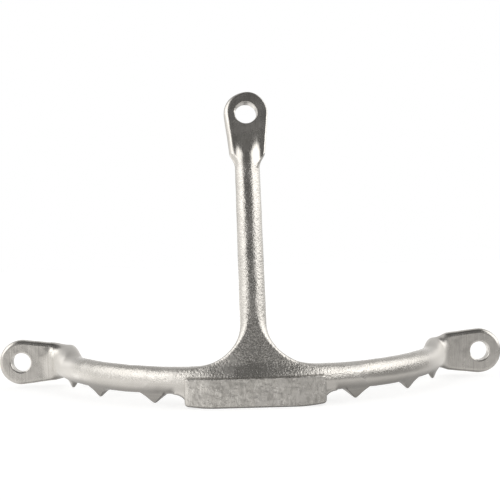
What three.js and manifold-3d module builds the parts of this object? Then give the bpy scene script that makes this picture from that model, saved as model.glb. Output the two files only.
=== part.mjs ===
// Small rigid claw anchor: an upright shank with a head eye, a half-hoop crossbar
// that sweeps back from the crown, an eye at each arm end, a ground crown pad and
// six short teeth under the bar.
//
// Millimetres and degrees. +X starboard, +Y aft (the way the arms sweep), +Z up.
// The origin is the centre of the crown pad's flat underside.
// Angles along the bar are measured about the hoop centre: 0 at the crown,
// positive to starboard.
import * as THREE from "three";
import { mergeVertices } from "three/addons/utils/BufferGeometryUtils.js";
import Module from "manifold-3d";

const { degToRad, lerp, radToDeg, smoothstep } = THREE.MathUtils;
const wasm = await Module();
wasm.setup();

// ---- dimensions shared between pieces --------------------------------------
const GAP = 0.3; // clearance at every weld seam

const HOOP_R = 134; // bar centreline radius, in plan
const BAR_Z = 14.5; // nominal bar centreline height over the standing plane
const BAR_HALF_DEPTH = 7; // radial
const BAR_TOP = 22.7;
const BAR_BOTTOM = 6.5;

const ARM_START_DEG = 19.4; // crown to arm seam
const ARM_END_DEG = 75.5;
const HALF_SEAM_DEG = radToDeg(GAP / 2 / HOOP_R);
const CROWN_END_DEG = ARM_START_DEG - HALF_SEAM_DEG;

const WEB_RISE = 32.7; // gusset top, along the shank axis from the bar centreline
const SHANK_START = WEB_RISE + GAP;
const SHANK_HEAD = 133.6; // shank to head eye seam
const SHANK_WIDTH = { foot: 16, head: 15 };
const SHANK_DEPTH = { foot: 13.2, head: 12.4 };

// ---- geometry helpers ------------------------------------------------------
function toSolid(geometry) {
  const bare = geometry.clone();
  bare.deleteAttribute("normal");
  bare.deleteAttribute("uv");
  const welded = mergeVertices(bare, 1e-4);
  return new wasm.Manifold(
    new wasm.Mesh({
      numProp: 3,
      vertProperties: new Float32Array(welded.attributes.position.array),
      triVerts: new Uint32Array(welded.index.array),
    }),
  );
}

function toGeometry(solid) {
  const { numVert, numProp, vertProperties, triVerts } = solid.getMesh();
  const positions = new Float32Array(numVert * 3);
  for (let i = 0; i < numVert; i++) {
    positions.set(vertProperties.subarray(i * numProp, i * numProp + 3), i * 3);
  }
  const geometry = new THREE.BufferGeometry();
  geometry.setAttribute("position", new THREE.BufferAttribute(positions, 3));
  geometry.setIndex(new THREE.BufferAttribute(new Uint32Array(triVerts), 1));
  geometry.computeVertexNormals();
  return geometry;
}

function polygon(points) {
  const shape = new THREE.Shape(points.map(([x, y]) => new THREE.Vector2(x, y)));
  shape.closePath();
  return shape;
}

const extrude = (shape, depth, options = {}) =>
  new THREE.ExtrudeGeometry(shape, { depth, bevelEnabled: false, ...options });

// Sends each vertex to the place that `place` sets on it.
function reshape(geometry, place) {
  const position = geometry.attributes.position;
  const point = new THREE.Vector3();
  for (let i = 0; i < position.count; i++) {
    place(point.fromBufferAttribute(position, i));
    position.setXYZ(i, point.x, point.y, point.z);
  }
  return geometry;
}

// Stands a piece on the leaning shank axis. Its local x is starboard, local y
// runs up the shank from the bar centreline, local z is towards the front.
const LEAN_DEG = 8; // shank leans aft
function alongShank(geometry) {
  const lean = degToRad(LEAN_DEG);
  const frame = new THREE.Matrix4().makeBasis(
    new THREE.Vector3(1, 0, 0),
    new THREE.Vector3(0, Math.sin(lean), Math.cos(lean)),
    new THREE.Vector3(0, -Math.cos(lean), Math.sin(lean)),
  );
  frame.setPosition(0, 0, BAR_Z);
  return geometry.applyMatrix4(frame);
}

// The shank and its head eye tip to port about the bar centreline.
const SIDE_LEAN_DEG = 0.6; // as cast
function tipToPort(geometry) {
  return geometry
    .translate(0, 0, -BAR_Z)
    .rotateY(-degToRad(SIDE_LEAN_DEG))
    .translate(0, 0, BAR_Z);
}

// ---- materials and group ---------------------------------------------------
const metal = ({ color, roughness }) =>
  new THREE.MeshStandardMaterial({ color, roughness, metalness: 1 });
const castMetal = () => metal({ color: 0xb9b7b1, roughness: 0.3 });
const satinMetal = () => metal({ color: 0xa9a7a2, roughness: 0.38 });
const groundMetal = () => metal({ color: 0xb4b0a8, roughness: 0.45 });

const anchor = new THREE.Group();
function add(name, geometry, material) {
  const mesh = new THREE.Mesh(geometry, material);
  mesh.name = name;
  anchor.add(mesh);
  return mesh;
}

// ---- the hoop bar ----------------------------------------------------------
const BAR_CORNER = 5.6;
const UNIT_CORNER = BAR_CORNER / 8; // corner radius in the unit section
const UNIT_FLAT = 1 - UNIT_CORNER;

// Out along the arms the section changes, each change blended over a range of angles.
const ARM_TOP_GROWTH = 0.2;
const ARM_TOP_BLEND = [36, 58];
const ARM_BOTTOM = 5.8;
const ARM_BOTTOM_BLEND = [24, 40];
const ARM_CORNER_LOSS = 1.6;
const ARM_CORNER_BLEND = [58, 70];

// round shoulder on top of each arm end
const FLARE_X = 131.2;
const FLARE_Z = 17.9;
const FLARE_R = 10.2;

// Rounded square of half size 1.
function unitSection() {
  const flat = UNIT_FLAT;
  const shape = new THREE.Shape();
  shape.moveTo(1, -flat);
  shape.lineTo(1, flat);
  shape.absarc(flat, flat, UNIT_CORNER, 0, Math.PI / 2, false);
  shape.lineTo(-flat, 1);
  shape.absarc(-flat, flat, UNIT_CORNER, Math.PI / 2, Math.PI, false);
  shape.lineTo(-1, -flat);
  shape.absarc(-flat, -flat, UNIT_CORNER, Math.PI, 1.5 * Math.PI, false);
  shape.lineTo(flat, -1);
  shape.absarc(flat, -flat, UNIT_CORNER, 1.5 * Math.PI, 2 * Math.PI, false);
  return shape;
}

function barTop(deg) {
  const away = Math.abs(deg);
  const plain = BAR_TOP + ARM_TOP_GROWTH * smoothstep(away, ...ARM_TOP_BLEND);
  const inboard = FLARE_X - HOOP_R * Math.sin(degToRad(away));
  const flare =
    inboard < FLARE_R ? FLARE_Z + Math.sqrt(FLARE_R * FLARE_R - inboard * inboard) : 0;
  return Math.max(plain, flare);
}

const barBottom = (deg) =>
  BAR_BOTTOM + (ARM_BOTTOM - BAR_BOTTOM) * smoothstep(Math.abs(deg), ...ARM_BOTTOM_BLEND);

// The bar between two angles of the hoop, its section grown outwards by `grow`.
function bar(fromDeg, toDeg, { steps, grow = 0 }) {
  const blank = extrude(unitSection(), 1, { steps, curveSegments: 3 });
  return reshape(blank, (point) => {
    const { x: u, y: v, z: t } = point;
    const deg = fromDeg + (toDeg - fromDeg) * t;
    const angle = degToRad(deg);
    const radius = HOOP_R - u * (BAR_HALF_DEPTH + grow);
    const top = barTop(deg) + grow;
    const bottom = barBottom(deg) - grow;
    // the flat takes up the changes in height, the corner keeps its own radius
    const corner = BAR_CORNER - ARM_CORNER_LOSS * smoothstep(Math.abs(deg), ...ARM_CORNER_BLEND);
    const flatHalf = (top - bottom) / 2 - corner;
    const height = Math.abs(v);
    const offset =
      height <= UNIT_FLAT
        ? (height / UNIT_FLAT) * flatHalf
        : flatHalf + ((height - UNIT_FLAT) / UNIT_CORNER) * corner;
    point.set(
      radius * Math.sin(angle),
      HOOP_R - radius * Math.cos(angle),
      (top + bottom) / 2 + Math.sign(v) * offset,
    );
  });
}

// The same on one side: starboard is +1, port is -1.
const sideBar = (side, innerDeg, outerDeg, options) =>
  side > 0 ? bar(innerDeg, outerDeg, options) : bar(-outerDeg, -innerDeg, options);

// ---- crown: centre of the bar with the gusset that carries the shank -------
const WEB = {
  halfSpan: 43,
  thick: 11.5,
  fill: 1.06, // over 1 fills the corner of the gusset a little
  filletSteps: 14,
  endDrop: 1.2, // outer ends, below the bar top
  filletDrop: 0.4, // fillet foot, below the bar top
  neckMargin: 0.1, // each side of the shank
};
// grown bar that trims the gusset beyond each crown seam
const WEB_TRIM_END_DEG = 30;
const WEB_TRIM = { steps: 6, grow: 9 };

function webOutline() {
  const barTopRise = BAR_TOP - BAR_Z;
  const endRise = barTopRise - WEB.endDrop;
  const filletFoot = barTopRise - WEB.filletDrop;
  const neckHalf = SHANK_WIDTH.foot / 2 + WEB.neckMargin;
  const fillet = [];
  for (let i = 0; i <= WEB.filletSteps; i++) {
    const angle = (i / WEB.filletSteps) * (Math.PI / 2);
    fillet.push([
      neckHalf + (WEB.halfSpan - neckHalf) * (1 - Math.sin(angle) ** WEB.fill),
      filletFoot + (WEB_RISE - filletFoot) * (1 - Math.cos(angle) ** WEB.fill),
    ]);
  }
  const portFillet = fillet.map(([x, y]) => [-x, y]).reverse();
  return polygon([
    [-WEB.halfSpan, 0],
    [WEB.halfSpan, 0],
    [WEB.halfSpan, endRise],
    ...fillet,
    ...portFillet,
    [-WEB.halfSpan, endRise],
  ]);
}

function crownGeometry() {
  const plate = extrude(webOutline(), WEB.thick).translate(0, 0, -WEB.thick / 2);
  // the plate follows the curve of the hoop in plan
  reshape(plate, (point) => {
    point.z -= HOOP_R - Math.sqrt(HOOP_R * HOOP_R - point.x * point.x);
  });
  let web = toSolid(alongShank(plate));
  for (const side of [1, -1]) {
    web = web.subtract(toSolid(sideBar(side, CROWN_END_DEG, WEB_TRIM_END_DEG, WEB_TRIM)));
  }
  const crownBar = bar(-CROWN_END_DEG, CROWN_END_DEG, { steps: 14 });
  return toGeometry(toSolid(crownBar).add(web));
}

// ---- arms ------------------------------------------------------------------
function armGeometry(side) {
  const startDeg = ARM_START_DEG + HALF_SEAM_DEG;
  return toGeometry(toSolid(sideBar(side, startDeg, ARM_END_DEG, { steps: 26 })));
}

// ---- shank: a tapered elliptical bar ---------------------------------------
function shankGeometry() {
  const circle = new THREE.Shape();
  circle.absarc(0, 0, 1, 0, 2 * Math.PI, false);
  const shank = extrude(circle, 1, { steps: 5, curveSegments: 20 });
  reshape(shank, (point) => {
    const { x, y, z: t } = point;
    const width = lerp(SHANK_WIDTH.foot, SHANK_WIDTH.head, t);
    const depth = lerp(SHANK_DEPTH.foot, SHANK_DEPTH.head, t);
    point.set((x * width) / 2, lerp(SHANK_START, SHANK_HEAD, t), (-y * depth) / 2);
  });
  return tipToPort(alongShank(shank));
}

// ---- eye lugs --------------------------------------------------------------
const EYE_BORE = 13.2; // diameter
const EYE_THICK = 7.6;
const EYE_BEVEL = 1.3;
const COUNTERSINK = 0.6; // 45 degree chamfer at each mouth of the bore
const DRILL_OVERRUN = 2; // past each face

const HEAD_EYE = { radius: 13.6, rootHalf: 10.2, rootChamfer: 3.4 };
const HEAD_EYE_AT = 164.7; // bore centre along the shank axis
const HEAD_TWIST_DEG = 3.5; // as cast, the head eye is turned slightly on the shank

const SIDE_EYE = { radius: 15.5, rootHalf: 12, rootChamfer: 0.6 };
const STARBOARD_EYE_X = 160; // the two eyes sit a little off mirror positions, as cast
const PORT_EYE_X = -162.2;
const SIDE_EYE_Y = 96;
const SIDE_EYE_Z = 17.2;
const SIDE_ROOT_INSET = 0.1; // extra clearance at the root
// grown bar that trims the root clear of the arm
const SIDE_TRIM_START_DEG = 55;
const SIDE_TRIM_END_DEG = ARM_END_DEG + 0.2;

// Outline inside the bevel: round about the origin, tapering tangentially to a
// chamfered root on the -X side.
function eyeOutline({ radius, rootHalf, rootChamfer, length }) {
  const roundR = radius - EYE_BEVEL;
  const half = rootHalf - EYE_BEVEL;
  const rootX = -length + EYE_BEVEL;
  // angle of the upper tangent point on the round end
  const tangent = Math.atan2(half, rootX) - Math.acos(roundR / Math.hypot(rootX, half));
  const shape = new THREE.Shape();
  shape.moveTo(rootX, -half + rootChamfer);
  shape.lineTo(rootX + rootChamfer, -half);
  shape.absarc(0, 0, roundR, -tangent, tangent, false);
  shape.lineTo(rootX + rootChamfer, half);
  shape.lineTo(rootX, half - rootChamfer);
  shape.closePath();
  return shape;
}

function eyeDrill() {
  const boreR = EYE_BORE / 2;
  const mouthR = boreR + DRILL_OVERRUN + COUNTERSINK;
  const end = EYE_THICK / 2 + DRILL_OVERRUN;
  const neck = EYE_THICK / 2 - COUNTERSINK;
  const profile = [
    [0, -end],
    [mouthR, -end],
    [boreR, -neck],
    [boreR, neck],
    [mouthR, end],
    [0, end],
  ].map(([r, z]) => new THREE.Vector2(r, z));
  return new THREE.LatheGeometry(profile, 40).rotateX(Math.PI / 2);
}

// A bevelled plate in XY with its bore at the origin.
function eyePlate(size) {
  const coreThick = EYE_THICK - 2 * EYE_BEVEL;
  const plate = extrude(eyeOutline(size), coreThick, {
    bevelEnabled: true,
    bevelThickness: EYE_BEVEL,
    bevelSize: EYE_BEVEL,
    bevelSegments: 2,
    curveSegments: 18,
  }).translate(0, 0, -coreThick / 2);
  return toGeometry(toSolid(plate).subtract(toSolid(eyeDrill())));
}

function headEyeGeometry() {
  const plate = eyePlate({ ...HEAD_EYE, length: HEAD_EYE_AT - SHANK_HEAD - GAP })
    .rotateZ(Math.PI / 2)
    .rotateY(degToRad(HEAD_TWIST_DEG))
    .translate(0, HEAD_EYE_AT, 0);
  return tipToPort(alongShank(plate));
}

function sideEyeGeometry(side) {
  const armTipX = (HOOP_R + BAR_HALF_DEPTH) * Math.sin(degToRad(ARM_END_DEG));
  const eyeX = side > 0 ? STARBOARD_EYE_X : PORT_EYE_X;
  const length = Math.abs(eyeX) - (armTipX + GAP) - SIDE_ROOT_INSET;
  const plate = eyePlate({ ...SIDE_EYE, length });
  if (side < 0) plate.rotateY(Math.PI);
  plate.rotateX(Math.PI / 2).translate(eyeX, SIDE_EYE_Y, SIDE_EYE_Z);
  const trim = sideBar(side, SIDE_TRIM_START_DEG, SIDE_TRIM_END_DEG, { steps: 12, grow: GAP });
  return toGeometry(toSolid(plate).subtract(toSolid(trim)));
}

// ---- crown pad -------------------------------------------------------------
const PAD = {
  halfWidth: 42.3,
  flatHalf: 25, // centre facets of the front and back faces
  footHalf: 31, // flat centre of the underside
  front: -10.4,
  endBackset: 2.6, // front face ends, aft of its centre
  centreBack: 8.5,
  endBack: 12.5,
  upperBack: 4, // aft limit above the underside of the bar
  top: 17.7,
  endRise: 1.2,
  chamfer: 0.8,
};

function padPlan() {
  const { halfWidth, flatHalf, front, centreBack, endBack } = PAD;
  const endFront = front + PAD.endBackset;
  return polygon([
    [-halfWidth, endFront],
    [-flatHalf, front],
    [flatHalf, front],
    [halfWidth, endFront],
    [halfWidth, endBack],
    [flatHalf, centreBack],
    [-flatHalf, centreBack],
    [-halfWidth, endBack],
  ]);
}

// Seen along Y: x across, z up.
function padElevation() {
  const { halfWidth, footHalf, top, endRise, chamfer } = PAD;
  const inner = halfWidth - chamfer;
  return polygon([
    [-footHalf, 0],
    [footHalf, 0],
    [inner, endRise],
    [halfWidth, endRise + chamfer],
    [halfWidth, top - chamfer],
    [inner, top],
    [-inner, top],
    [-halfWidth, top - chamfer],
    [-halfWidth, endRise + chamfer],
    [-inner, endRise],
  ]);
}

function padGeometry() {
  const block = extrude(padPlan(), PAD.top);
  const elevation = extrude(padElevation(), 60).rotateX(Math.PI / 2).translate(0, 30, 0);
  const barClearance = bar(-24, 24, { steps: 16, grow: GAP });
  // oversize box: nothing of the pad stands behind the bar
  const [width, depth, height] = [173.2, 40, 60];
  const behind = new THREE.BoxGeometry(width, depth, height);
  behind.translate(0, PAD.upperBack + depth / 2, BAR_BOTTOM - GAP + height / 2);
  return toGeometry(
    toSolid(block)
      .intersect(toSolid(elevation))
      .subtract(toSolid(barClearance))
      .subtract(toSolid(behind)),
  );
}

// ---- teeth -----------------------------------------------------------------
const TOOTH_DEG = { inner: 27.5, middle: 48, outer: 68.4 };
const TOOTH = {
  length: 16, // along the bar, at the root
  thick: 5.6, // across the bar, at the root
  tipHalf: 0.7, // half length of the tip
  tipThinning: 0.3, // tip thickness over root thickness
};

// A four-sided wedge: its long side follows the bar, its tip is on the standing plane.
function toothGeometry(deg) {
  const top = barBottom(deg) - GAP;
  const outline = polygon([
    [-TOOTH.length / 2, top],
    [-TOOTH.tipHalf, 0],
    [TOOTH.tipHalf, 0],
    [TOOTH.length / 2, top],
  ]);
  const tooth = extrude(outline, TOOTH.thick).translate(0, 0, -TOOTH.thick / 2);
  // stand it up so its height is +Z, thinning towards the tip
  return reshape(tooth, (point) => {
    const { x, y, z } = point;
    const thinning = TOOTH.tipThinning + ((1 - TOOTH.tipThinning) * y) / top;
    point.set(x, -z * thinning, y);
  });
}

function addTooth(name, deg) {
  const tooth = add(name, toothGeometry(deg), castMetal());
  const angle = degToRad(deg);
  tooth.rotation.z = angle;
  tooth.position.set(HOOP_R * Math.sin(angle), HOOP_R - HOOP_R * Math.cos(angle), 0);
}

// ---- assembly --------------------------------------------------------------
add("crown_web", crownGeometry(), castMetal());
add("starboard_arm", armGeometry(1), castMetal());
add("port_arm", armGeometry(-1), castMetal());
add("shank", shankGeometry(), castMetal());
add("head_eye_lug", headEyeGeometry(), satinMetal());
add("starboard_eye_lug", sideEyeGeometry(1), satinMetal());
add("port_eye_lug", sideEyeGeometry(-1), satinMetal());
add("crown_pad", padGeometry(), groundMetal());
for (const [hand, side] of [["port", -1], ["starboard", 1]]) {
  for (const [place, deg] of Object.entries(TOOTH_DEG)) {
    addTooth(`${hand}_tooth_${place}`, side * deg);
  }
}

export default anchor;
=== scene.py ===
"""Looks for the rigid claw anchor.

The metal is one continuous casting, so its surface is worked out as one implicit
shape (bar, gusset, shank, eyes, teeth, with their fillets), meshed finely, and then
cut at the CAD seams into one closed piece per CAD node. The ground pad is its own
piece. Lengths inside the shape code are millimetres in the row frame.
"""

import math

import bmesh
import bpy
import numpy as np
from mathutils import Matrix, Vector


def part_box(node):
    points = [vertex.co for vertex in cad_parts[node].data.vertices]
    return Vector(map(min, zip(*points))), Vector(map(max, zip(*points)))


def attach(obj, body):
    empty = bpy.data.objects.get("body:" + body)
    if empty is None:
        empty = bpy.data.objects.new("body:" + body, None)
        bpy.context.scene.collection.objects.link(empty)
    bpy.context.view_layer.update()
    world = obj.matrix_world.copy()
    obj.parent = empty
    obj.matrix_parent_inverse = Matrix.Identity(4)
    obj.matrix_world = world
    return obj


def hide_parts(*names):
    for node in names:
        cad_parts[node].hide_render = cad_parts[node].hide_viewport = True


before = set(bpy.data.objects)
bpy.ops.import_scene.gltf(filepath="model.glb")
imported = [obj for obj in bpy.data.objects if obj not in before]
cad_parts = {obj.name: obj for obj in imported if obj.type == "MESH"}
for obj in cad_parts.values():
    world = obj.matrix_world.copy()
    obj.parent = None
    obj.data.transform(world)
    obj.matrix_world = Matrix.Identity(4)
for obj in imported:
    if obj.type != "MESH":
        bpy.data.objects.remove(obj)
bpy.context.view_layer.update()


def cad(node):
    """Lowest and highest corner of a CAD node, in millimetres."""
    lo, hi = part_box(node)
    return np.array(lo) * 1000, np.array(hi) * 1000


# ---------------------------------------------------------------------------
# dimensions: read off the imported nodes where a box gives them
# ---------------------------------------------------------------------------
PAD_LO, PAD_HI = cad("crown_pad")
EYE_LO, EYE_HI = cad("starboard_eye_lug")
WEB_LO, WEB_HI = cad("crown_web")

R = 134.0
BAR_Z = 14.5
BAR_A = 7.0
BAR_TOP = 22.7
BAR_BOT = float(WEB_LO[2])
ARM_BOT = 5.8
ARM_START = 19.4
ARM_END = 75.5
FLARE_X, FLARE_Z, FLARE_R = 131.2, 16.9, 10.2

LEAN = math.radians(8)
SIDE_LEAN = math.radians(0.6)
TWIST = math.radians(3.5)
SEAM_LOW, SEAM_HIGH = 33.0, 133.6

EYE_R = float(EYE_HI[2] - EYE_LO[2]) / 2
EYE_Z = float(EYE_HI[2] + EYE_LO[2]) / 2
EYE_X = float(EYE_HI[0]) - EYE_R
PORT_EYE_X = -float(cad("port_eye_lug")[0][0]) - EYE_R
EYE_Y = float(EYE_HI[1] + EYE_LO[1]) / 2
EYE_T = float(EYE_HI[1] - EYE_LO[1])
BORE = 6.6
HEAD_AT, HEAD_R = 164.7, 13.6

PAD_W = float(PAD_HI[0])
PAD_F = float(PAD_LO[1])
PAD_T = float(PAD_HI[2])
PAD_B = float(PAD_HI[1])

TEETH = (27.5, 48.0, 68.4)


# ---------------------------------------------------------------------------
# implicit shape
# ---------------------------------------------------------------------------
def smin(a, b, k):
    h = np.maximum(k - np.abs(a - b), 0) / k
    return np.minimum(a, b) - h * h * k * 0.25


def smax(a, b, k):
    h = np.maximum(k - np.abs(a - b), 0) / k
    return np.maximum(a, b) + h * h * k * 0.25


def step(a, b, x):
    t = np.clip((x - a) / (b - a), 0, 1)
    return t * t * (3 - 2 * t)


def plate(d2, h, half, r):
    """A 2-D outline distance d2 given a thickness of 2*half with edges rounded to r."""
    w = d2 + r
    v = np.abs(h) - half + r
    return (
        np.minimum(np.maximum(w, v), 0)
        + np.hypot(np.maximum(w, 0), np.maximum(v, 0))
        - r
    )


def shank_frame(x, y, z):
    """Row frame to the shank's own axes: across, up the shank, towards the front."""
    zz = z - BAR_Z
    c, s = math.cos(SIDE_LEAN), math.sin(SIDE_LEAN)
    # the shank tips towards -X about the bar centreline
    blend = step(5, 40, zz)
    xs = x * c + (zz * s) * blend
    zs = zz * c - (x * s) * blend
    w = y * math.sin(LEAN) + zs * math.cos(LEAN)
    d = -y * math.cos(LEAN) + zs * math.sin(LEAN)
    return xs, w, d


def d_bar(ax, y, z, port):
    phi = np.arctan2(ax, R - y)
    rho = np.hypot(ax, R - y)
    deg = np.degrees(phi)
    top = BAR_TOP + 0.2 * step(36, 58, deg)
    # the port flare stands a little prouder than the starboard one
    dx = R * np.sin(phi) - FLARE_X
    rise = np.sqrt(np.maximum((FLARE_R - 0.4 * port) ** 2 - np.minimum(dx, 0) ** 2, 0.01))
    flare = FLARE_Z + 2.0 * port + rise
    top = smax(top, flare, 1.6)
    bot = BAR_BOT + (ARM_BOT - BAR_BOT) * step(24, 40, deg)
    # an oval section, fuller than an ellipse
    half = (top - bot) / 2
    n = 2.2
    out = BAR_A + (3.6 * port + 0.6) * step(58, 71, deg)
    ex = np.abs(rho - R) / np.where(rho > R, out, BAR_A)
    ez = np.abs(z - (top + bot) / 2) / half
    g = np.maximum((ex**n + ez**n) ** (1 / n), 0.05)
    gx = (ex / g) ** (n - 1) / BAR_A
    gz = (ez / g) ** (n - 1) / half
    d = np.maximum((g - 1) / np.maximum(np.hypot(gx, gz), 1e-3), -7.0)
    slope = 1 + 0.45 * step(58, 62, deg) * (1 - step(66, 72, deg)) * (z > 14)
    d = d / slope
    return smax(d, R * (phi - math.radians(ARM_END + 0.6)), 5.0)


def d_web(x, y, z, fr):
    """The gusset: concave fillets from the shank out along the bar, flat-faced, with an edge that sharpens downwards."""
    xs, w, dd = fr
    ax = np.abs(xs)
    back = R - np.sqrt(R * R - np.minimum(ax, 100) ** 2)
    hw, span = 8.0, 44.5
    y0, top = 7.6, 34.0
    cx, cy = span, top
    A, B = span - hw, top - y0
    ex = np.maximum(cx - ax, 1e-3) / A
    ey = np.maximum(cy - w, 1e-3) / B
    n = 2.06
    g = (ex**n + ey**n) ** (1 / n)
    gx = (ex / g) ** (n - 1) / A
    gy = (ey / g) ** (n - 1) / B
    e = (1 - g) / np.maximum(np.hypot(gx, gy), 1e-3)
    d2 = np.where(w > cy, ax - hw, np.where(ax > cx, w - y0 + (ax - cx) * 0.14, e))
    d2 = np.maximum(np.maximum(d2, w - 50.0), np.maximum(13.0 - z, ax - 66.0))
    r = 1.9 + 3.85 * step(17, 38, w)
    half = 6.3 + 0.6 * (1 - step(2, 12, w))
    return plate(d2, dd + back, half, np.minimum(r, half - 0.05))


def d_shank(fr):
    """The shank: an oval bar whose front runs out into the head eye as a low ridge."""
    xs, w, dd = fr
    turn = TWIST * step(50, 132, w)
    c, s = np.cos(turn), np.sin(turn)
    xs, dd = xs * c - dd * s, xs * s + dd * c
    t = np.clip(w / 140.0, 0, 1)
    a = 8.2 - 0.6 * t
    b = 6.6 - 0.4 * t - 2.8 * step(138, 153, w)
    n = 2.06
    ex, ey = np.abs(xs) / a, np.abs(dd) / b
    g = np.maximum((ex**n + ey**n) ** (1 / n), 0.05)
    gx = (ex / g) ** (n - 1) / a
    gy = (ey / g) ** (n - 1) / b
    d = (g - 1) / np.maximum(np.hypot(gx, gy), 1e-3)
    d = np.maximum(d, -6.0)
    d = smax(d, (w - 154.0) * 0.9, 3.0)
    return np.maximum(d, 30.0 - w)


def d_eye(t, q, h, radius, alpha, root, half, edge, neck=None, sink=1.0):
    """An eye plate: t runs from the bore to the root, q across, h through."""
    ca, sa = math.cos(alpha), math.sin(alpha)
    aq = np.abs(q)
    d2 = np.where(t * ca - aq * sa > 0, aq * ca + t * sa - radius, np.hypot(t, q) - radius)
    if neck:
        # shoulders draw in to a tongue that sinks inside the shank
        line = (radius - t * sa) / ca
        k = step(neck[0], neck[1], t)
        drawn = line * (1 - k) + 4.0 * k
        d2 = np.where(t > neck[0], (aq - drawn) * (1 - 0.22 * np.sin(np.pi * k)), d2)
        half = half - 2.6 * step(neck[1] - 6, neck[1] + 12, t)
        edge = np.minimum(edge, half - 0.05)
    d2 = smax(d2, t - root, 6.0)
    d = plate(d2, h, half, edge)
    return smax(d, BORE - np.hypot(t, q), sink)


def d_tooth(ax, y, z, deg):
    p = math.radians(deg)
    px, py = R * math.sin(p), R * (1 - math.cos(p))
    s = (ax - px) * math.cos(p) + (y - py) * math.sin(p)
    u = (ax - px) * math.sin(p) - (y - py) * math.cos(p)
    h = 6.2
    k1 = (8.0 - 0.5) / h
    k2 = (2.9 - 0.8) / h
    d1 = (np.abs(s) - 0.5 - z * k1) / math.hypot(1, k1)
    d2 = np.maximum((np.abs(u) - 0.8 - z * k2) / math.hypot(1, k2), np.abs(u) - 2.7)
    d = smax(d1, d2, 0.9)
    d = smax(d, -z, 0.7)
    d = smax(d, np.abs(s) - 8.4, 2.0)
    return smax(d, z - 8.2, 2.0)


def d_pad(x, y, z, grow=0.0, k=0.6, ends=1.0, under=0.6):
    ax = np.abs(x)
    front = PAD_F - y
    n = math.hypot(2.6, 17.3)
    facet = ((ax - 25.0) * 2.6 - (y - PAD_F) * 17.3) / n
    foot = ((ax - 31.0) * 1.2 - z * 10.5) / math.hypot(1.2, 10.5)
    d = smax(front, facet, k)
    low = smax(-z, foot, k)
    d = smax(d, low, under)
    d = smax(d, z - PAD_T, k * 0.8)
    d = smax(d, ax - PAD_W, ends)
    back = 8.5 + 4.0 * step(20, 42, ax)
    shape = np.minimum(np.maximum(z - 6.4, y - back), y - 0.5)
    return np.maximum(d, shape) - grow


def w_of(fr):
    return fr[1]


def d_body(x, y, z):
    """The casting: everything but the ground pad."""
    ax = np.abs(x)
    fr = shank_frame(x, y, z)
    port = x < 0
    d = d_bar(ax, y, z, port)
    web = d_web(x, y, z, fr)
    shank = d_shank(fr)
    # the oval shank flattens into the gusset over its lowest centimetre
    t = step(30.5, 44.0, w_of(fr))
    d = smin(d, np.where(w_of(fr) > 30.5, web * (1 - t) + shank * t, web), 4.0)
    xs, w, dd = fr
    c, s = math.cos(TWIST), math.sin(TWIST)
    q = xs * c - dd * s
    h = xs * s + dd * c
    edge = 0.9 + 2.6 * step(4, -6, q)
    head = d_eye(HEAD_AT - w, q, h, HEAD_R, math.radians(6.1), 50.0, EYE_T / 2, edge, (25.5, 38.0), 0.7)
    d = np.where(w > 100, smin(d, head, 2.4), d)
    d = np.where(w > 140, smax(d, BORE - np.hypot(q, HEAD_AT - w), 0.7), d)
    side = d_eye(np.where(port, PORT_EYE_X, EYE_X) - ax, z - EYE_Z, y - EYE_Y, EYE_R, math.radians(6.5), 27.0, EYE_T / 2, 2.8)
    d = np.where(ax > 90, smin(d, side, np.where(port, 6.5, 5.0)), d)
    # the port plate folds into the flare along a low upright rib
    rib = np.hypot(np.hypot(ax - 139.6, y - 93.6), np.maximum(np.abs(z - 16.6) - 7.6, 0)) - 2.0
    d = np.where(port & (ax > 125), smin(d, rib, 1.6), d)
    for deg in TEETH:
        d = smin(d, d_tooth(ax, y, z, deg), 2.4)
    # the fillet that runs from the arm's underside into each end of the pad
    rx, rz = 7.5, 5.9
    cx, cz = PAD_W - 0.4 + rx, 0.7
    ex, ez = np.maximum(cx - ax, 1e-3) / rx, np.maximum(z - cz, 1e-3) / rz
    g = np.hypot(ex, ez)
    hollow = (1 - g) / np.maximum(np.hypot(ex / g / rx, ez / g / rz), 1e-3)
    d2 = np.maximum(np.maximum(hollow, ax - cx), np.maximum(z - 13.0, 38.0 - ax))
    knee = plate(d2, np.hypot(ax, R - y) - R, 6.2, 1.8)
    d = np.where((ax > 30) & (ax < 60), smin(d, np.maximum(knee, cz - 0.4 - z), 1.6), d)
    inner = d_pad(x, y, z, -0.45, 0.6)
    # behind the pad a fillet fills the crevice under the bar
    fill = 0.5 + 6.5 * step(1.5, 6.0, y) * (1 - step(35, 41, ax)) * step(3.0, 6.0, z)
    d = np.where(ax < 60, smin(d, inner, fill), d)
    return d


# a band-limited random field: sums of sines along seeded directions
rng = np.random.default_rng(7)


def make_field(count, wavelength, spread=0.35):
    v = rng.normal(size=(count, 3))
    v /= np.linalg.norm(v, axis=1)[:, None]
    lam = wavelength * np.exp(rng.normal(size=count) * spread)
    return (v * (2 * np.pi / lam)[:, None]).astype(np.float32), (
        rng.random(count) * 2 * np.pi
    ).astype(np.float32)


FIELD_WIDE = make_field(18, 17.0)
FIELD_MID = make_field(26, 6.0)
FIELD_FINE = make_field(34, 2.3)


def field(f, P):
    k, ph = f
    out = np.zeros(len(P), np.float32)
    for i in range(len(ph)):
        out += np.sin(P @ k[i] + ph[i])
    return out / math.sqrt(len(ph) / 2)


def cast_noise(P):
    """Cast skin: slow waviness everywhere, a little more on the grainy upper half."""
    g = grain_mask(P)
    return 0.04 * field(FIELD_WIDE, P) + 0.010 * field(FIELD_MID, P) + g * 0.010 * field(FIELD_FINE, P)


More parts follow.
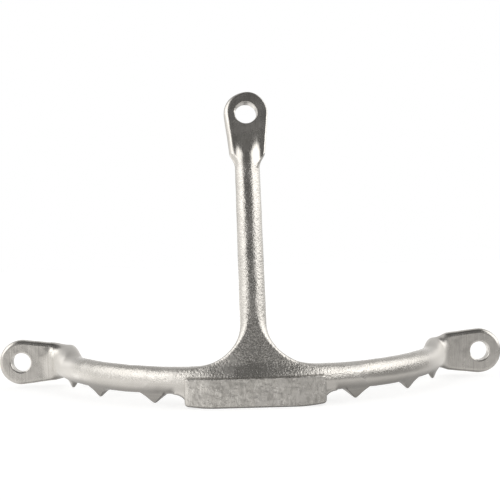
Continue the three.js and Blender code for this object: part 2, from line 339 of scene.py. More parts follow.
def grain_mask(P):
    x, y, z = P[:, 0], P[:, 1], P[:, 2]
    ax = np.abs(x)
    arm = step(12.5, 15.5, z) * (1 - step(108, 120, ax))
    head = step(143, 150, z)
    side = step(128, 136, ax)
    arm *= 1 - 0.3 * step(75, 140, z)
    return np.clip(arm * (1 - head) * (1 - side), 0, 1)


def plate_mask(P):
    """0 on the cast skin, 1 on the brushed eye plates, with a soft change between."""
    ax = np.abs(P[:, 0])
    w = shank_frame(P[:, 0], P[:, 1], P[:, 2])[1]
    return np.clip(step(129, 141, w) + step(129, 137, ax), 0, 1)


def soft_mask(P):
    """The flares at the arm ends: a smoother skin that scatters more, and a paler colour painted on as light."""
    ax = np.abs(P[:, 0])
    return step(113, 125, ax) * (1 - step(133, 140, ax))


def body_at(P, noise=True):
    x, y, z = (np.ascontiguousarray(P[:, i]) for i in range(3))
    d = d_body(x, y, z)
    if noise:
        d = d - cast_noise(P)
    return d


def pad_noise(P):
    """Hand-ground face: shallow overlapping facets and cross marks."""
    x, y, z = P[:, 0], P[:, 1], P[:, 2]
    facets = 0.05 * np.sin(x * 0.23 + 1.1 * np.sin(x * 0.11 + z * 0.2)) * np.sin(z * 0.35 + x * 0.05)
    return facets.astype(np.float32) + 0.016 * field(FIELD_MID, P) + 0.008 * field(FIELD_FINE, P)


def pad_at(P, noise=True):
    x, y, z = (np.ascontiguousarray(P[:, i]) for i in range(3))
    d = d_pad(x, y, z, 0.0, 0.6, 2.4, 1.5)
    if noise:
        # the underside stays a true flat
        d = d - pad_noise(P) * step(0.4, 2.5, z)
    return d


# ---------------------------------------------------------------------------
# meshing: surface nets on a narrow band, then a pull onto the exact surface
# ---------------------------------------------------------------------------
def gradient(fn, P, e=0.04):
    k = np.array([[1, -1, -1], [-1, -1, 1], [-1, 1, -1], [1, 1, 1]], np.float32)
    g = np.zeros_like(P)
    for d in k:
        g += fn(P + d * e)[:, None] * d
    return g / (4 * e)


def surface(fn, lo, hi, h, block=8):
    lo = np.array(lo, float)
    n = np.ceil((np.array(hi) - lo) / h / block).astype(int) * block
    vals = np.full(n, 9.0, np.float32)
    nb = n // block
    idx = np.stack(np.meshgrid(*[np.arange(b) for b in nb], indexing="ij"), -1).reshape(-1, 3)
    mid = (lo + (idx + 0.5) * block * h).astype(np.float32)
    dm = fn(mid)
    reach = block * h * 0.87 * 1.15 + 1.6
    for i, j, k in idx[dm < -reach]:
        vals[i * block:(i + 1) * block, j * block:(j + 1) * block, k * block:(k + 1) * block] = -9
    act = idx[np.abs(dm) <= reach]
    off = np.stack(np.meshgrid(*[np.arange(block)] * 3, indexing="ij"), -1).reshape(-1, 3)
    for c in range(0, len(act), 400):
        blocks = act[c:c + 400]
        g = (blocks[:, None, :] * block + off[None]).reshape(-1, 3)
        v = fn((lo + g * h).astype(np.float32))
        vals[g[:, 0], g[:, 1], g[:, 2]] = v
    inside = vals < 0
    # cells with a sign change
    s = inside[:-1, :-1, :-1].astype(np.int8)
    tot = np.zeros_like(s)
    for a in (0, 1):
        for b in (0, 1):
            for c in (0, 1):
                tot += inside[a:n[0] - 1 + a, b:n[1] - 1 + b, c:n[2] - 1 + c]
    cells = np.argwhere((tot > 0) & (tot < 8))
    vid = np.full(np.array(n) - 1, -1, np.int32)
    vid[cells[:, 0], cells[:, 1], cells[:, 2]] = np.arange(len(cells))
    # each cell's vertex: the mean of its edge crossings
    acc = np.zeros((len(cells), 3), np.float32)
    cnt = np.zeros(len(cells), np.float32)
    corners = [(a, b, c) for a in (0, 1) for b in (0, 1) for c in (0, 1)]
    for p in corners:
        for axis in range(3):
            if p[axis]:
                continue
            q = list(p)
            q[axis] = 1
            vp = vals[cells[:, 0] + p[0], cells[:, 1] + p[1], cells[:, 2] + p[2]]
            vq = vals[cells[:, 0] + q[0], cells[:, 1] + q[1], cells[:, 2] + q[2]]
            m = (vp < 0) != (vq < 0)
            t = np.where(m, vp / np.where(vp == vq, 1, vp - vq), 0)
            for ax_ in range(3):
                acc[:, ax_] += np.where(m, p[ax_] + (t if ax_ == axis else 0), 0)
            cnt += m
    V = lo + (cells + acc / cnt[:, None]) * h
    quads = []
    for axis in range(3):
        a1, a2 = [(1, 2), (2, 0), (0, 1)][axis]
        sl_a = [slice(0, None)] * 3
        sl_b = [slice(0, None)] * 3
        sl_a[axis] = slice(0, -1)
        sl_b[axis] = slice(1, None)
        x = inside[tuple(sl_a)] != inside[tuple(sl_b)]
        e = np.argwhere(x)
        e = e[(e[:, a1] > 0) & (e[:, a2] > 0) & (e[:, a1] < n[a1] - 1) & (e[:, a2] < n[a2] - 1) & (e[:, axis] < n[axis] - 1)]
        flip = inside[e[:, 0], e[:, 1], e[:, 2]]

        def at(d1, d2):
            o = e.copy()
            o[:, a1] -= d1
            o[:, a2] -= d2
            return vid[o[:, 0], o[:, 1], o[:, 2]]

        q = np.stack([at(1, 1), at(0, 1), at(0, 0), at(1, 0)], 1)
        q[~flip] = q[~flip][:, ::-1]
        quads.append(q)
    quads = np.concatenate(quads)
    quads = quads[(quads >= 0).all(1)]
    return V.astype(np.float32), quads


def pull(fn, V, steps=3):
    for _ in range(steps):
        for c in range(0, len(V), 60000):
            P = V[c:c + 60000]
            d = fn(P)
            g = gradient(fn, P)
            m = np.maximum((g * g).sum(1), 0.2)
            V[c:c + 60000] = P - g * np.clip(d / m, -0.4, 0.4)[:, None]
    return V


def relax(V, Q, amount=0.5):
    """Slides the vertices towards their neighbours' mean, to even out the quads."""
    acc = np.zeros_like(V)
    cnt = np.zeros(len(V), np.float32)
    for a, b in ((0, 1), (1, 2), (2, 3), (3, 0)):
        np.add.at(acc, Q[:, a], V[Q[:, b]])
        np.add.at(cnt, Q[:, a], 1)
        np.add.at(acc, Q[:, b], V[Q[:, a]])
        np.add.at(cnt, Q[:, b], 1)
    return V + (acc / np.maximum(cnt, 1)[:, None] - V) * amount


def build(fn, lo, hi, h, rounds=2):
    V, Q = surface(lambda P: fn(P, False), lo, hi, h)
    V = pull(lambda P: fn(P, False), V, 1)
    for _ in range(rounds):
        V = relax(V, Q, 0.55)
        V = pull(lambda P: fn(P, False), V, 1)
    V = pull(lambda P: fn(P, True), V, 2)
    return V, Q


H = 0.55
body_low = build(body_at, (-180, -13, -3), (180, 106, 52), H)
body_high = build(body_at, (-22, -6, 42), (20, 36, 195), H)
pad_mesh = build(pad_at, (-46, -14, -2.5), (46, 16, 21), H * 0.85, 1)


# ---------------------------------------------------------------------------
# cutting the casting at the CAD seams: one closed piece per node
# ---------------------------------------------------------------------------
def curvature(fn, P, e=0.7):
    """Sum of the principal curvatures of the smooth shape, per millimetre: positive on edges, negative in hollows."""
    acc = -6 * fn(P, False)
    for i in range(3):
        for sgn in (-e, e):
            Q = P.copy()
            Q[:, i] += sgn
            acc = acc + fn(Q, False)
    return acc / (e * e)


def cut_piece(name, V, Q, planes, fn):
    """The part of the mesh on the inner side of every plane (point, outward normal, and where the plane cuts)."""
    keep = np.ones(len(Q), bool)
    centre = V[Q].mean(1)
    for p, nrm, *only in planes:
        s = (V - np.array(p, np.float32)) @ np.array(nrm, np.float32)
        here = only[0](centre) if only else np.ones(len(Q), bool)
        keep &= (s[Q] < 0).any(1) | ~here
    q = Q[keep]
    used, inv = np.unique(q, return_inverse=True)
    q = inv.reshape(q.shape)
    v = V[used]
    me = bpy.data.meshes.new(name)
    me.from_pydata(v.tolist(), [], q.tolist())
    bm = bmesh.new()
    bm.from_mesh(me)
    for p, nrm, *only in planes:
        p, nrm = Vector(p), Vector(nrm)
        if only:
            fc = bm.faces[:]
            hit = only[0](np.array([f.calc_center_median() for f in fc], np.float32))
            faces = [f for f, k in zip(fc, hit) if k]
            edges = list({e for f in faces for e in f.edges})
            verts = list({v_ for f in faces for v_ in f.verts})
            geom = verts + edges + faces
        else:
            geom = bm.verts[:] + bm.edges[:] + bm.faces[:]
        bmesh.ops.bisect_plane(bm, geom=geom, dist=1e-5, plane_co=p, plane_no=nrm, clear_outer=True)
        rim = [
            e
            for e in bm.edges
            if e.is_boundary and all(abs((v_.co - p).dot(nrm)) < 2e-3 for v_ in e.verts)
        ]
        if rim:
            made = bmesh.ops.triangle_fill(bm, edges=rim, use_beauty=True, normal=nrm)
            for f in made["geom"]:
                if isinstance(f, bmesh.types.BMFace):
                    f.material_index = 1
    left = [e for e in bm.edges if e.is_boundary]
    if left:
        bmesh.ops.holes_fill(bm, edges=left, sides=0)
    loose = [v_ for v_ in bm.verts if not v_.link_faces]
    if loose:
        bmesh.ops.delete(bm, geom=loose, context="VERTS")
    # a pinch, where two sheets of the mesh share one short edge, is drawn to a point
    pinched = [e for e in bm.edges if len(e.link_faces) > 2 and e.calc_length() < 0.2]
    if pinched:
        bmesh.ops.collapse(bm, edges=pinched)
    # the piece is the largest shell; a stray bubble inside the metal is dropped
    shells, seen = [], set()
    for start in bm.verts:
        if start in seen:
            continue
        shell, todo = [], [start]
        seen.add(start)
        while todo:
            v_ = todo.pop()
            shell.append(v_)
            for e in v_.link_edges:
                o = e.other_vert(v_)
                if o not in seen:
                    seen.add(o)
                    todo.append(o)
        shells.append(shell)
    shells.sort(key=len)
    for shell in shells[:-1]:
        print(name, "dropped a shell of", len(shell), "near", [round(c, 1) for c in shell[0].co])
        bmesh.ops.delete(bm, geom=shell, context="VERTS")
    open_edges = sum(1 for e in bm.edges if not e.is_manifold)
    bmesh.ops.triangulate(bm, faces=[f for f in bm.faces if len(f.verts) > 4])
    bm.to_mesh(me)
    bm.free()
    co = np.zeros(len(me.vertices) * 3, np.float32)
    me.vertices.foreach_get("co", co)
    co = co.reshape(-1, 3)
    nr = gradient(lambda P: fn(P, True), co)
    nr /= np.maximum(np.linalg.norm(nr, axis=1), 1e-6)[:, None]
    for key, val in (("grain", grain_mask(co)), ("curve", curvature(fn, co)), ("plate", plate_mask(co)), ("soft", soft_mask(co))):
        layer = me.attributes.new(key, "FLOAT", "POINT")
        layer.data.foreach_set("value", val.astype(np.float32))
    me.vertices.foreach_set("co", (co / 1000).ravel())
    me.polygons.foreach_set("use_smooth", np.ones(len(me.polygons), bool))
    me.update()
    # shade from the shape itself, so the cuts between pieces don't show
    index = np.zeros(len(me.loops), np.int32)
    me.loops.foreach_get("vertex_index", index)
    total = np.zeros(len(me.polygons), np.int32)
    me.polygons.foreach_get("loop_total", total)
    cap = np.zeros(len(me.polygons), np.int32)
    me.polygons.foreach_get("material_index", cap)
    face_n = np.zeros(len(me.polygons) * 3, np.float32)
    me.polygons.foreach_get("normal", face_n)
    face_n = face_n.reshape(-1, 3)
    loop_cap = np.repeat(cap, total) > 0
    loop_n = nr[index]
    loop_n[loop_cap] = np.repeat(face_n, total, axis=0)[loop_cap]
    me.polygons.foreach_set("material_index", np.zeros(len(me.polygons), np.int32))
    me.normals_split_custom_set(loop_n.tolist())
    obj = bpy.data.objects.new(name, me)
    bpy.context.scene.collection.objects.link(obj)
    print("%-24s %7d verts, open edges %d" % (name, len(co), open_edges))
    return obj


ca, sa = math.cos(math.radians(ARM_START)), math.sin(math.radians(ARM_START))
shank_up = np.array([0, math.sin(LEAN), math.cos(LEAN)])
tip = np.array([[math.cos(SIDE_LEAN), 0, -math.sin(SIDE_LEAN)], [0, 1, 0], [math.sin(SIDE_LEAN), 0, math.cos(SIDE_LEAN)]])
shank_up = tip @ shank_up
seam_low = (np.array([0, 0, BAR_Z]) + shank_up * SEAM_LOW, shank_up)
seam_high = (np.array([0, 0, BAR_Z]) + shank_up * SEAM_HIGH, shank_up)
EAR_X = 134.0
TOOTH_Z = (4.8, 4.8, 4.2)


def tooth_axes(side, deg):
    p = math.radians(deg)
    return (
        np.array([side * R * math.sin(p), R * (1 - math.cos(p)), 0]),
        np.array([math.cos(p), side * math.sin(p), 0]),
    )


def near_tooth(side, deg):
    c, t = tooth_axes(side, deg)

    def inside(q):
        rel = q - c
        return (np.abs(rel @ t) < 8.6) & (np.hypot(rel[:, 0], rel[:, 1]) < 12)

    return inside


def flip(plane):
    return (plane[0], [-c for c in plane[1]])


hub = (0, R, 0)
cut_star = (hub, (ca, sa, 0))  # outward of the crown, starboard side
cut_port = (hub, (-ca, sa, 0))
pieces = {}
pieces["shank"] = cut_piece("shank_bar", *body_high, [flip(seam_low), seam_high], body_at)
pieces["head_eye_lug"] = cut_piece("head_eye", *body_high, [flip(seam_high)], body_at)
pieces["crown_web"] = cut_piece("crown_gusset", *body_low, [seam_low, cut_star, cut_port], body_at)
for side, hand in ((-1, "port"), (1, "starboard")):
    own = cut_star if side > 0 else cut_port
    pieces[hand + "_arm"] = cut_piece(
        hand + "_arm_bar",
        *body_low,
        [
            ((side * 20.0, 0, 0), (-side, 0, 0)),
            flip(own),
            ((side * EAR_X, 0, 0), (side, 0, 0)),
        ]
        + [((0, 0, z_cut), (0, 0, -1), near_tooth(side, deg)) for deg, z_cut in zip(TEETH, TOOTH_Z)],
        body_at,
    )
    pieces[hand + "_eye_lug"] = cut_piece(
        hand + "_eye", *body_low, [((side * EAR_X, 0, 0), (-side, 0, 0))], body_at
    )
    for deg, z_cut, place in zip(TEETH, TOOTH_Z, ("inner", "middle", "outer")):
        c, t = tooth_axes(side, deg)
        pieces[f"{hand}_tooth_{place}"] = cut_piece(
            f"{hand}_{place}_tooth",
            *body_low,
            [(c + t * 8.6, t), (c - t * 8.6, -t), ((0, 0, z_cut), (0, 0, 1))],
            body_at,
        )
pieces["crown_pad"] = cut_piece("ground_crown_pad", *pad_mesh, [], pad_at)
# ---------------------------------------------------------------------------
# materials
# ---------------------------------------------------------------------------
class Nodes:
    """A short way to write a node tree."""

    def __init__(self, tree):
        self.t = tree
        tree.nodes.clear()

    def new(self, kind, **kw):
        n = self.t.nodes.new(kind)
        for k, v in kw.items():
            setattr(n, k, v)
        return n

    def link(self, a, b):
        self.t.links.new(a, b)

    def put(self, sock, v):
        if isinstance(v, bpy.types.NodeSocket):
            self.link(v, sock)
        else:
            sock.default_value = v

    def math(self, op, a, b=None, c=None, clamp=False):
        n = self.new("ShaderNodeMath", operation=op, use_clamp=clamp)
        for i, v in enumerate((a, b, c)):
            if v is not None:
                self.put(n.inputs[i], v)
        return n.outputs[0]

    def vmath(self, op, a, b=None):
        n = self.new("ShaderNodeVectorMath", operation=op)
        self.put(n.inputs[0], a)
        if b is not None:
            self.put(n.inputs[1], b)
        return n.outputs[0]

    def ramp(self, x, a, b, ya=0.0, yb=1.0, smooth=True):
        n = self.new("ShaderNodeMapRange", interpolation_type="SMOOTHSTEP" if smooth else "LINEAR")
        for k, v in zip(("Value", "From Min", "From Max", "To Min", "To Max"), (x, a, b, ya, yb)):
            self.put(n.inputs[k], v)
        return n.outputs[0]

    def noise(self, vec, scale, detail=2.0, rough=0.5, distortion=0.0):
        n = self.new("ShaderNodeTexNoise")
        self.link(vec, n.inputs["Vector"])
        n.inputs["Scale"].default_value = scale
        n.inputs["Detail"].default_value = detail
        n.inputs["Roughness"].default_value = rough
        n.inputs["Distortion"].default_value = distortion
        return n.outputs["Fac"]

    def mix(self, fac, a, b):
        n = self.new("ShaderNodeMix", data_type="RGBA")
        self.put(n.inputs["Factor"], fac)
        self.put(n.inputs[6], a)
        self.put(n.inputs[7], b)
        return n.outputs[2]

    def bump(self, height, distance, strength=1.0, normal=None):
        n = self.new("ShaderNodeBump")
        self.put(n.inputs["Height"], height)
        self.put(n.inputs["Distance"], distance)
        self.put(n.inputs["Strength"], strength)
        if normal is not None:
            self.link(normal, n.inputs["Normal"])
        return n.outputs["Normal"]


STEEL = (0.585, 0.565, 0.535, 1)


def metal(name, rough, grain, brushed=0.0, ground=0.0, tint=STEEL, glow=0.0):
    mat = bpy.data.materials.new(name)
    mat.use_nodes = True
    N = Nodes(mat.node_tree)
    out = N.new("ShaderNodeOutputMaterial")
    bsdf = N.new("ShaderNodeBsdfPrincipled")
    N.link(bsdf.outputs[0], out.inputs[0])
    tc = N.new("ShaderNodeTexCoord")
    pos = tc.outputs["Object"]
    g = N.new("ShaderNodeAttribute", attribute_name="grain").outputs["Fac"]
    flat = N.new("ShaderNodeAttribute", attribute_name="plate").outputs["Fac"]
    soft = N.new("ShaderNodeAttribute", attribute_name="soft").outputs["Fac"]

    # cast skin: orange peel about a millimetre across, with finer speckle in it
    peel = N.noise(pos, 900, 2.0, 0.6, 0.3)
    speck = N.noise(pos, 1700, 1.5, 0.6)
    height = N.math("ADD", peel, N.math("MULTIPLY", speck, 0.3))
    nrm = N.bump(height, N.math("MULTIPLY_ADD", g, grain * 0.001, 0.00002))
    # soft hand-finishing waves at a few millimetres
    wave = N.noise(pos, 210, 2.0, 0.5)
    nrm = N.bump(wave, 0.00005, 1.0, nrm)
    if brushed:
        v = N.vmath("MULTIPLY", pos, (2600.0, 900.0, 60.0))
        lines = N.noise(v, 1.0, 2.0, 0.6)
        nrm = N.bump(lines, N.math("MULTIPLY", flat, brushed * 0.001), 1.0, nrm)
    if ground:
        v = N.vmath("MULTIPLY", pos, (1500.0, 400.0, 120.0))
        lines = N.noise(v, 1.0, 2.5, 0.65, 0.4)
        nrm = N.bump(lines, ground * 0.001, 1.0, nrm)
        dents = N.new("ShaderNodeTexVoronoi", feature="SMOOTH_F1")
        N.link(N.vmath("ADD", pos, (0.3, 0.1, 0.2)), dents.inputs["Vector"])
        dents.inputs["Scale"].default_value = 330
        dents.inputs["Smoothness"].default_value = 0.6
        nrm = N.bump(dents.outputs["Distance"], 0.00012, 1.0, nrm)
        nrm = N.bump(N.noise(N.vmath("MULTIPLY", pos, (260.0, 260.0, 700.0)), 1.0, 3.0, 0.6, 0.6), 0.00012, 1.0, nrm)

    # edges: rubbed brighter and smoother; hollows get painted shade, a little darker, and a rougher finish
    curve = N.new("ShaderNodeAttribute", attribute_name="curve").outputs["Fac"]
    edge = N.ramp(curve, 0.30, 0.75)
    hollow = N.ramp(curve, -0.10, -0.45)
    cloud = N.noise(pos, 55, 4.0, 0.6)
    spots = N.ramp(N.noise(pos, 640, 2.5, 0.75), 0.55, 0.66)
    glint = N.ramp(N.noise(N.vmath("ADD", pos, (0.7, 0.2, 0.4)), 760, 2.0, 0.65), 0.55, 0.66)
    base = N.mix(N.ramp(cloud, 0.3, 0.7), (tint[0] * 0.95, tint[1] * 0.95, tint[2] * 0.94, 1), (tint[0] * 1.04, tint[1] * 1.04, tint[2] * 1.04, 1))
    base = N.mix(N.math("MULTIPLY", edge, 0.5), base, (0.72, 0.70, 0.67, 1))
    # painted shade: the colour darkens a little in the hollows
    base = N.mix(N.math("MULTIPLY", hollow, 0.45), base, (0.26, 0.25, 0.235, 1))
    base = N.mix(N.math("MULTIPLY", N.math("MULTIPLY", spots, g), 0.40), base, (0.34, 0.325, 0.30, 1))
    base = N.mix(N.math("MULTIPLY", N.math("MULTIPLY", glint, g), 0.4), base, (0.80, 0.78, 0.75, 1))
    r = N.math("ADD", N.ramp(cloud, 0.3, 0.7, rough - 0.04, rough + 0.05), N.math("MULTIPLY", g, 0.05))
    r = N.math("ADD", r, N.math("MULTIPLY", N.math("MULTIPLY", N.math("MAXIMUM", spots, glint), g), 0.14))
    if ground:
        patch = N.noise(N.vmath("MULTIPLY", pos, (560.0, 420.0, 190.0)), 1.0, 3.5, 0.7, 0.8)
        base = N.mix(N.ramp(patch, 0.52, 0.64, 0.0, 0.6), base, (0.36, 0.345, 0.32, 1))
        base = N.mix(N.ramp(patch, 0.46, 0.34, 0.0, 0.7), base, (0.76, 0.74, 0.70, 1))
        r = N.math("ADD", r, N.ramp(patch, 0.35, 0.65, 0.0, 0.14))
    if brushed:
        streak = N.noise(N.vmath("MULTIPLY", pos, (1100.0, 500.0, 45.0)), 1.0, 2.5, 0.6, 0.2)
        base = N.mix(N.math("MULTIPLY", flat, N.ramp(streak, 0.52, 0.68, 0.0, 0.35)), base, (0.40, 0.385, 0.36, 1))
        base = N.mix(N.math("MULTIPLY", flat, N.ramp(streak, 0.46, 0.34, 0.0, 0.35)), base, (0.72, 0.70, 0.665, 1))
        r = N.math("ADD", r, N.math("MULTIPLY", flat, brushed * 1.5))
    # painted light: the flares are mixed to a paler colour for their brighter look, and made rougher
    base = N.mix(N.math("MULTIPLY", soft, 0.6), base, (0.76, 0.74, 0.71, 1))
    r = N.math("ADD", r, N.math("MULTIPLY", soft, 0.20))
    r = N.math("SUBTRACT", r, N.math("MULTIPLY", edge, 0.06))
    r = N.math("ADD", r, N.math("MULTIPLY", hollow, 0.12), clamp=True)
    bsdf.inputs["Metallic"].default_value = 1.0
    N.link(base, bsdf.inputs["Base Color"])
    N.link(r, bsdf.inputs["Roughness"])
    N.link(nrm, bsdf.inputs["Normal"])
    if glow:
        # painted reflection: in the neighbouring metal the eye plates glow as the bright wall they face, though they
        # are no lamp
        lp = N.new("ShaderNodeLightPath")
        em = N.new("ShaderNodeEmission")
        em.inputs["Color"].default_value = (1.0, 0.985, 0.96, 1)
        em.inputs["Strength"].default_value = glow
        mx = N.new("ShaderNodeMixShader")
        N.link(N.math("MULTIPLY", lp.outputs["Is Glossy Ray"], 0.85), mx.inputs[0])
        N.link(bsdf.outputs[0], mx.inputs[1])
        N.link(em.outputs[0], mx.inputs[2])
        N.link(mx.outputs[0], out.inputs[0])
    return mat


CAST = metal("cast_metal", 0.19, 0.20, brushed=0.04)
SATIN = metal("satin_eye_metal", 0.19, 0.20, brushed=0.04)
BRIGHT = metal("satin_eye_metal_side_painted_glow", 0.19, 0.20, brushed=0.04, glow=1.1)
GROUND = metal("ground_metal", 0.22, 0.03, ground=0.05)

SLOTS = {
    "shank": ("cast_metal", CAST),
    "crown_web": ("cast_metal", CAST),
    "head_eye_lug": ("satin_eye_metal", SATIN),
    "port_eye_lug": ("satin_eye_metal", BRIGHT),
    "starboard_eye_lug": ("satin_eye_metal", BRIGHT),
    "crown_pad": ("ground_metal", GROUND),
}
for node, obj in pieces.items():
    slot_name, mat = SLOTS.get(node, ("cast_metal", CAST))
    obj.data.materials.append(mat)
    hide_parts(node)
    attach(obj, "root")


# ---------------------------------------------------------------------------
# floor, light and camera
# ---------------------------------------------------------------------------
n = 3.0
me = bpy.data.meshes.new("studio_floor")
me.from_pydata([(-n, -n, 0), (n, -n, 0), (n, n, 0), (-n, n, 0)], [], [(0, 1, 2, 3)])
floor = bpy.data.objects.new("studio_floor", me)
bpy.context.scene.collection.objects.link(floor)
mat = bpy.data.materials.new("pale_floor")
mat.use_nodes = True
N = Nodes(mat.node_tree)
out = N.new("ShaderNodeOutputMaterial")
lp = N.new("ShaderNodeLightPath")
diff = N.new("ShaderNodeBsdfDiffuse")
diff.inputs["Color"].default_value = (0.93, 0.925, 0.92, 1)
seen = N.new("ShaderNodeEmission")
tc = N.new("ShaderNodeTexCoord")
sep = N.new("ShaderNodeSeparateXYZ")
N.link(tc.outputs["Object"], sep.inputs[0])
# painted reflection: the metal sees the floor as a glowing table whose tone turns with the direction, with painted
# shadow under the bar
deg = 180 / math.pi
geo = N.new("ShaderNodeNewGeometry")
inc = N.new("ShaderNodeSeparateXYZ")
N.link(geo.outputs["Incoming"], inc.inputs[0])
az = N.math("MULTIPLY", N.math("ARCTAN2", N.math("MULTIPLY", inc.outputs[0], -1.0), inc.outputs[1]), deg)
far = N.ramp(az, -14, -21, 0.78, 1.28)
far = N.math("ADD", far, N.ramp(az, -13, -7, 0.0, 0.08))
far = N.math("SUBTRACT", far, N.ramp(az, -24, -33, 0.0, 0.26))
far = N.math("SUBTRACT", far, N.math("MULTIPLY", N.ramp(az, -10, -12.5), N.ramp(az, -18, -16, 0.0, 0.18)))
far = N.math("SUBTRACT", far, N.ramp(az, 2, 14, 0.0, 0.20))
far = N.math("SUBTRACT", far, N.ramp(az, 24, 40, 0.0, 0.24))
far = N.math("ADD", far, N.ramp(az, -30, -50, 0.0, 0.12))
far = N.math("ADD", far, N.ramp(N.math("ABSOLUTE", az), 105, 125, 0.0, 0.3))
close = N.ramp(az, -10, -30, 0.74, 0.98)
dist = N.vmath("SUBTRACT", tc.outputs["Object"], (0.0, R / 1000, 0.0))
span = N.new("ShaderNodeVectorMath", operation="LENGTH")
N.link(dist, span.inputs[0])
gap = N.math("MULTIPLY", N.math("SUBTRACT", span.outputs["Value"], (R + BAR_A) / 1000), 1000.0)
drop = N.math("MULTIPLY", N.math("ARCSINE", inc.outputs[2]), deg)
val = N.math("ADD", close, N.math("MULTIPLY", N.ramp(drop, 25, 13), N.math("SUBTRACT", far, close)))
# painted shade: steep downward views of the floor read darker
val = N.math("MULTIPLY", val, N.ramp(drop, 56, 74, 1.0, 0.45))
front = N.ramp(N.math("ABSOLUTE", az), 30, 16)
val = N.math("MULTIPLY", val, N.math("SUBTRACT", 1.0, N.math("MULTIPLY", front, N.ramp(drop, 6, 0, 0.0, 0.75))))
# painted shadow: darker near the bar's ring
val = N.math("MULTIPLY", val, N.ramp(gap, -6, 14, 0.5, 1.0))
# painted shadow: darker in front of the pad
at_pad = N.math("MULTIPLY", N.ramp(sep.outputs[1], (PAD_F - 5) / 1000, (PAD_F + 1) / 1000), N.ramp(N.math("ABSOLUTE", sep.outputs[0]), 0.052, 0.042))
val = N.math("MULTIPLY", val, N.math("SUBTRACT", 1.0, N.math("MULTIPLY", at_pad, 0.5)))
comb = N.new("ShaderNodeCombineColor")
for i, k in enumerate((1.0, 0.985, 0.965)):
    N.link(N.math("MULTIPLY", val, k), comb.inputs[i])
N.link(comb.outputs[0], seen.inputs["Color"])
lift = N.new("ShaderNodeEmission")
lift.inputs["Color"].default_value = (1, 1, 1, 1)
lift.inputs["Strength"].default_value = 0.72
diff.inputs["Color"].default_value = (0.45, 0.45, 0.447, 1)
both = N.new("ShaderNodeAddShader")
N.link(diff.outputs[0], both.inputs[0])
N.link(lift.outputs[0], both.inputs[1])
mixs = N.new("ShaderNodeMixShader")
N.link(lp.outputs["Is Glossy Ray"], mixs.inputs[0])
N.link(both.outputs[0], mixs.inputs[1])
N.link(seen.outputs[0], mixs.inputs[2])
N.link(mixs.outputs[0], out.inputs[0])
me.materials.append(mat)

world = bpy.data.worlds.new("soft_studio")
bpy.context.scene.world = world
world.use_nodes = True
N = Nodes(world.node_tree)
out = N.new("ShaderNodeOutputWorld")
bg = N.new("ShaderNodeBackground")
N.link(bg.outputs[0], out.inputs[0])
tc = N.new("ShaderNodeTexCoord")
sep = N.new("ShaderNodeSeparateXYZ")
N.link(tc.outputs["Generated"], sep.inputs[0])
X, Y, Z = sep.outputs
deg = 180 / math.pi
az = N.math("MULTIPLY", N.math("ARCTAN2", X, N.math("MULTIPLY", Y, -1.0)), deg)
el = N.math("MULTIPLY", N.math("ARCSINE", Z), deg)
aaz = N.math("ABSOLUTE", az)
lat = N.math("MULTIPLY", N.math("ARCSINE", N.math("ABSOLUTE", X)), deg)  # angle out from the middle plane
arc = N.math("MULTIPLY", N.math("ARCTAN2", Z, N.math("MULTIPLY", Y, -1.0)), deg)  # 0 front, 90 above, 180 behind


def over(under, mask, value):
    return N.math("ADD", under, N.math("MULTIPLY", mask, N.math("SUBTRACT", value, under)))


# white room behind, a dimmer ceiling, a dark open side behind the camera that reaches overhead
val = N.ramp(el, 8, 28, 1.0, 0.67)
val = N.math("MULTIPLY", val, N.math("SUBTRACT", 1.0, N.math("MULTIPLY", N.ramp(az, -108, -125), N.ramp(az, -178, -165, 0.0, 0.14))))
dark = N.math("SUBTRACT", N.ramp(el, 10, 13.5, 0.122, 0.20), N.ramp(el, 18, 24, 0.0, 0.087))
lift_ = N.math("MULTIPLY", N.ramp(el, 25, 34), N.ramp(el, 58, 48))
dark = N.math("ADD", dark, N.math("MULTIPLY", N.math("MULTIPLY", lift_, N.ramp(aaz, 34, 16)), 0.10))
edge_a = N.math("MULTIPLY_ADD", lift_, 5.0, 36.0)
edge_b = N.math("MULTIPLY_ADD", lift_, 8.0, 23.0)
val = over(val, N.math("MULTIPLY", N.ramp(lat, edge_a, edge_b), N.ramp(arc, 116, 96)), dark)
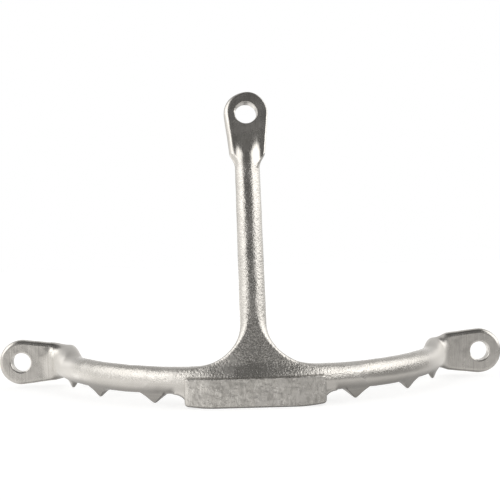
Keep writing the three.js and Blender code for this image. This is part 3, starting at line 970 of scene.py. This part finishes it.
# a tall soft box on each side
box_ = N.math("MULTIPLY", N.ramp(lat, N.math("MULTIPLY_ADD", lift_, 6.0, 26.0), N.math("MULTIPLY_ADD", lift_, 5.0, 38.0)), N.math("MULTIPLY", N.ramp(el, 5, 12), N.ramp(aaz, 126, 108)))
low_el = N.ramp(el, 34, 22)
panel = N.ramp(aaz, 68, 84, 2.2, 1.85)
panel = N.math("MULTIPLY", panel, N.math("SUBTRACT", 1.0, N.math("MULTIPLY", low_el, N.ramp(az, -64, -80, 0.0, 0.16))))
panel = N.math("MULTIPLY", panel, N.math("ADD", 1.0, N.math("MULTIPLY", low_el, N.ramp(az, 64, 80, 0.0, 0.06))))
val = over(val, box_, panel)
# what stands below them, near the horizon
low = N.math("MULTIPLY", N.ramp(el, 8, 3), N.ramp(aaz, 112, 98))
val = over(val, N.math("MULTIPLY", low, N.ramp(az, 26, 42)), 0.26)
val = over(val, N.math("MULTIPLY", low, N.ramp(az, -26, -42)), 0.95)
lp = N.new("ShaderNodeLightPath")
val = N.math("ADD", val, N.math("MULTIPLY", lp.outputs["Is Camera Ray"], N.math("SUBTRACT", 1.0, val)))
comb = N.new("ShaderNodeCombineColor")
for i, k in enumerate((1.0, 0.99, 0.975)):
    N.link(N.math("MULTIPLY", val, k), comb.inputs[i])
white = N.mix(lp.outputs["Is Camera Ray"], comb.outputs[0], (1.0, 1.0, 1.0, 1))
N.link(white, bg.inputs["Color"])
bg.inputs["Strength"].default_value = 1.0
world.cycles.sampling_method = "MANUAL"
world.cycles.sample_map_resolution = 1024

ROLL, PITCH, YAW = math.radians(1.4), math.radians(0.54), math.radians(0.73)
Xv = Vector((math.cos(YAW), -math.sin(YAW), 0))
Yv = Vector((math.sin(YAW), math.cos(YAW), 0))
Zv = Vector((0, 0, 1))
fwd = Yv * math.cos(PITCH) - Zv * math.sin(PITCH)
Z2 = Zv * math.cos(PITCH) + Yv * math.sin(PITCH)
right = Xv * math.cos(ROLL) - Z2 * math.sin(ROLL)
up = Xv * math.sin(ROLL) + Z2 * math.cos(ROLL)
eye = Vector((0, 0, 15)) - right * 3.12 + up * 78 - fwd * 540
cam_data = bpy.data.cameras.new("camera")
cam_data.sensor_width = 36
cam_data.lens = 64.8
cam_data.clip_start = 0.01
cam = bpy.data.objects.new("camera", cam_data)
bpy.context.scene.collection.objects.link(cam)
m = Matrix((right, up, -fwd)).transposed().to_4x4()
m.translation = eye / 1000
cam.matrix_world = m
scene = bpy.context.scene
scene.camera = cam
scene.view_settings.view_transform = "Standard"
scene.view_settings.look = "None"
